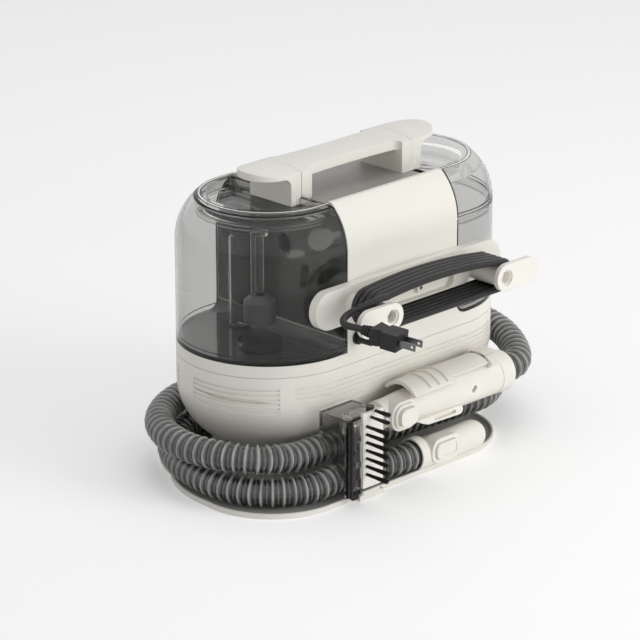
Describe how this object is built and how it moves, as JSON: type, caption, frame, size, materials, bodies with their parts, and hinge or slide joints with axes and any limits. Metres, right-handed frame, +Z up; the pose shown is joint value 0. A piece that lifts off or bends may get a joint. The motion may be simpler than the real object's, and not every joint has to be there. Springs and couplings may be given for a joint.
{
  "type": "carpet cleaning machine",
  "caption": "Portable carpet cleaner: two lift-off tanks beside a tower, cord on two hooks, ribbed hose round its base, wand with brush nozzle.",
  "frame": {"origin": "middle of the long body's plan, on the floor under the tray", "axes": "+X along the body towards the clean water tank, -Y towards the side with the cord hooks, wand and hose dock, +Z up"},
  "size_m": [0.4333, 0.3328, 0.2915],
  "materials": {
    "white_shell": "satin",
    "smoke_clear": "clear, smoke tinted",
    "dark_plastic": "satin",
    "black_rubber": "matt",
    "black_plastic": "matt",
    "hose_plastic": "satin",
    "steel": "satin",
    "board": "satin"
  },
  "bodies": {
    "machine": {"tray": "white_shell", "tray_pads": "black_rubber", "lower_shell": "white_shell", "upper_shell": "white_shell", "tower_panel_left": "dark_plastic", "tower_panel_right": "dark_plastic", "deck": "white_shell", "carry_grip": "white_shell", "cord_bracket": "white_shell", "cord_hook_left": "white_shell", "hook_screws": "steel", "cord_gland": "black_rubber", "hose_dock": "white_shell", "dock_spring": "steel", "wand_shell": "white_shell", "wand_end_ring": "white_shell", "trigger_pin": "steel", "spray_pipe": "smoke_clear", "fan_housing": "dark_plastic", "fan_motor": "steel", "water_pump": "dark_plastic", "control_board": "board", "exhaust_duct": "dark_plastic", "suction_duct": "dark_plastic", "water_pipe": "smoke_clear", "hose": "hose_plastic", "cord_lead": "black_rubber", "cord_winding": "black_rubber", "cord_tail": "black_rubber", "plug_body": "black_rubber", "plug_blades": "steel"},
    "fan": {"fan_wheel": "steel"},
    "dirty_tank": {"dirty_tank_shell": "smoke_clear", "dirty_tank_duct": "smoke_clear", "float_post": "smoke_clear"},
    "float": {"float_ball": "dark_plastic"},
    "dirty_tank_lid": {"dirty_lid": "smoke_clear", "dirty_lid_seal": "black_rubber", "dirty_end_cap": "white_shell"},
    "clean_tank": {"clean_tank_shell": "smoke_clear", "clean_tank_valve": "white_shell"},
    "valve": {"valve_plunger": "black_rubber"},
    "clean_tank_lid": {"clean_lid": "smoke_clear", "clean_lid_seal": "black_rubber", "clean_end_cap": "white_shell"},
    "swivel_hook": {"cord_hook_right": "white_shell"},
    "trigger": {"spray_trigger": "white_shell"},
    "nozzle_release": {"nozzle_button": "white_shell"},
    "hose_release": {"dock_button": "white_shell"},
    "power": {"power_button": "dark_plastic"},
    "nozzle": {"nozzle_shell": "smoke_clear", "nozzle_frame": "smoke_clear", "nozzle_lip": "black_rubber", "bristle_plate": "black_plastic", "spray_tip": "dark_plastic"}
  },
  "joints": [
    {"name": "fan_spin", "type": "hinge", "parent": "machine", "child": "fan", "pos_m": [0.034, 0, 0.062], "axis": [0, 0, 1], "continuous": true},
    {"name": "dirty_tank_lift", "type": "slide", "parent": "machine", "child": "dirty_tank", "axis": [0, 0, 1], "range_m": [0, 0.15]},
    {"name": "float_rise", "type": "slide", "parent": "dirty_tank", "child": "float", "axis": [0, 0, 1], "range_m": [0, 0.05]},
    {"name": "dirty_lid_lift", "type": "slide", "parent": "dirty_tank", "child": "dirty_tank_lid", "axis": [0, 0, 1], "range_m": [0, 0.06]},
    {"name": "clean_tank_lift", "type": "slide", "parent": "machine", "child": "clean_tank", "axis": [0, 0, 1], "range_m": [0, 0.15]},
    {"name": "clean_lid_lift", "type": "slide", "parent": "clean_tank", "child": "clean_tank_lid", "axis": [0, 0, 1], "range_m": [0, 0.08]},
    {"name": "valve_open", "type": "slide", "parent": "clean_tank", "child": "valve", "axis": [0, 0, 1], "range_m": [0, 0.003], "stiffness_N_per_m": 150, "springref_m": -0.001},
    {"name": "hook_swivel", "type": "hinge", "parent": "machine", "child": "swivel_hook", "pos_m": [0.078, -0.12, 0.1765], "axis": [0, -1, 0], "range_deg": [0, 180]},
    {"name": "trigger_squeeze", "type": "hinge", "parent": "machine", "child": "trigger", "pos_m": [0.088, -0.112, 0.0868], "axis": [0, -1, 0], "range_deg": [0, 1.2], "stiffness_Nm_per_rad": 6, "springref_deg": -114.59},
    {"name": "nozzle_release_press", "type": "slide", "parent": "machine", "child": "nozzle_release", "axis": [0, 1, 0], "range_m": [0, 0.0025], "stiffness_N_per_m": 600, "springref_m": -0.001},
    {"name": "hose_release_press", "type": "slide", "parent": "machine", "child": "hose_release", "axis": [0, 1, 0], "range_m": [0, 0.0025], "stiffness_N_per_m": 600, "springref_m": -0.001},
    {"name": "power_press", "type": "slide", "parent": "machine", "child": "power", "axis": [0, -1, 0], "range_m": [0, 0.002], "stiffness_N_per_m": 800, "springref_m": -0.001},
    {"name": "nozzle_pull", "type": "slide", "parent": "machine", "child": "nozzle", "axis": [-1, 0, 0], "range_m": [0, 0.045]}
  ]
}
